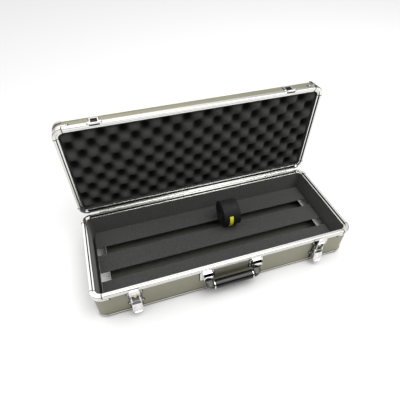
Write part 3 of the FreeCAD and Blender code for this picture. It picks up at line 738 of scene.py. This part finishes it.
# ---------- loop strips ----------
def make_loop_strips():
    made = []
    for place_name in ("front", "middle", "rear"):
        node = f"loop_strip_{place_name}"
        low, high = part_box(node)
        centre, half = middle_of(node)
        thick = high.z - low.z

        def pile(a, b, thick=thick, half=half):
            inward = min(half.x - abs(a), half.y - abs(b))
            soft = 0.9 * MM
            round_off = 1.0 if inward >= soft else math.sqrt(max(0.0, 1 - (1 - inward / soft) ** 2))
            tuft = 0.05 * noise.noise(Vector((a * 120, b * 120, half.y)))
            return thick * (0.35 + (0.60 + tuft) * round_off)

        strip = relief_slab(
            f"loop_tape_{place_name}", half.x, half.y, 0.8 * MM, 5 * MM, 1.2 * MM, pile,
            lambda a, b, h, c=centre, z=low.z: (c.x + a, c.y + b, z + h), LOOP,
        )
        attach(strip, "deck")
        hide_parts(node)
        made.append(strip)
    return made


# ---------- roll of tape ----------
TAPE_THICK = 1.45
TAPE_PITCH = 1.6
TAPE_END_DEG = 202.0
CORE_RADIUS = 13.2 * MM
STEPS_PER_TURN = 84
SWAY = 0.35 * MM


def make_tape_roll():
    """The tape itself, wound in a spiral from its core to a free end under the label."""
    low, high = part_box("tape_roll")
    centre = (low + high) / 2
    outer = (high.z - low.z) / 2
    half_width = (high.x - low.x) / 2
    thick = TAPE_THICK * MM
    turns = (outer - thick / 2 - CORE_RADIUS - thick / 2) / (TAPE_PITCH * MM)
    steps = int(turns * STEPS_PER_TURN)
    edge = 0.45 * MM
    section = []
    for sx, sr, start in ((1, -1, -90), (1, 1, 0), (-1, 1, 90), (-1, -1, 180)):
        for k in range(4):
            t = math.radians(start + 30 * k)
            section.append((
                sx * (half_width - edge) + edge * math.cos(t),
                sr * (thick / 2 - edge) + edge * math.sin(t),
            ))
    points, faces = [], []
    count = len(section)
    for i in range(steps + 1):
        f = i / steps
        angle = math.radians(TAPE_END_DEG) - (1 - f) * turns * 2 * math.pi
        radius = CORE_RADIUS + thick / 2 + f * turns * TAPE_PITCH * MM
        sway = SWAY * math.sin(angle * 0.37) * (1 - f) * (1 - f * 0.2)
        for x, r in section:
            points.append((
                centre.x + x * 0.994 + sway,
                centre.y + (radius + r) * math.cos(angle),
                centre.z + (radius + r) * math.sin(angle),
            ))
    for i in range(steps):
        for k in range(count):
            m = (k + 1) % count
            faces.append((i * count + k, (i + 1) * count + k, (i + 1) * count + m, i * count + m))
    faces.append(tuple(range(count)))
    faces.append(tuple(steps * count + k for k in reversed(range(count))))
    roll = new_piece("wound_hook_tape", points, faces, HOOK)
    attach(roll, "tape")
    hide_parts("tape_roll")
    return roll


wall, floor_felt = make_base_linings()
lid_band = make_lid_lining()
foam, foam_centre, foam_high = make_foam()
strips = make_loop_strips()
roll = make_tape_roll()
for piece in (wall, floor_felt, lid_band, foam, roll, *strips):
    face_outwards(piece)
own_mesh(foam)


# ---------- camera, floor and light ----------
def make_camera():
    camera = bpy.data.objects.new("camera", bpy.data.cameras.new("camera"))
    bpy.context.scene.collection.objects.link(camera)
    camera.location = (-0.2021, -0.4987, 0.6823)
    camera.rotation_euler = (math.radians(43.25), 0, math.radians(-17.81))
    camera.data.lens = 29.87
    camera.data.sensor_width = 36
    camera.data.shift_x = 0.007
    camera.data.shift_y = 0.0325
    bpy.context.scene.camera = camera


def make_floor():
    size = 30.0
    corners = [(-size, -size, 0), (size, -size, 0), (size, size, 0), (-size, size, 0)]
    pale = Finish("pale_floor", (0.80, 0.80, 0.80), 0.9)
    pale.bsdf.inputs["Specular IOR Level"].default_value = 0.1
    floor = new_piece("studio_floor", corners, [(0, 1, 2, 3)], pale.mat, smooth=False)


def area_light(name, at, aim, size, power):
    data = bpy.data.lights.new(name, "AREA")
    data.shape = "RECTANGLE"
    data.size, data.size_y = size
    data.energy = power
    lamp = bpy.data.objects.new(name, data)
    bpy.context.scene.collection.objects.link(lamp)
    lamp.location = at
    lamp.rotation_euler = (Vector(aim) - Vector(at)).to_track_quat("-Z", "Y").to_euler()


SKY_LEAN = (-0.30, 0.45, 1.0)


def make_light():
    """A broad soft sky, brightest behind and overhead, and a softbox high in front.

    Only what the camera sees directly of the sky is a plain pale backdrop.
    """
    world = bpy.data.worlds.new("studio")
    world.use_nodes = True
    tree = world.node_tree
    coords = tree.nodes.new("ShaderNodeTexCoord")
    lean = tree.nodes.new("ShaderNodeVectorMath")
    lean.operation = "DOT_PRODUCT"
    lean.inputs[1].default_value = SKY_LEAN
    tree.links.new(coords.outputs["Generated"], lean.inputs[0])
    sky = map_range(tree, lean.outputs["Value"], 0.45, 0.92, 0.07, 1.65)
    back = tree.nodes["Background"]
    back.inputs["Color"].default_value = (1.0, 1.0, 1.0, 1)
    seen = tree.nodes.new("ShaderNodeLightPath")
    plain = tree.nodes.new("ShaderNodeMix")
    plain.inputs["B"].default_value = 0.95
    tree.links.new(seen.outputs["Is Camera Ray"], plain.inputs["Factor"])
    tree.links.new(sky, plain.inputs["A"])
    tree.links.new(plain.outputs["Result"], back.inputs["Strength"])
    bpy.context.scene.world = world
    area_light("front_softbox", (0.8, -0.7, 2.2), (0.0, 0.0, 0), (2.2, 2.0), 48)
    bpy.context.scene.view_settings.view_transform = "Standard"


make_camera()
make_floor()
make_light()
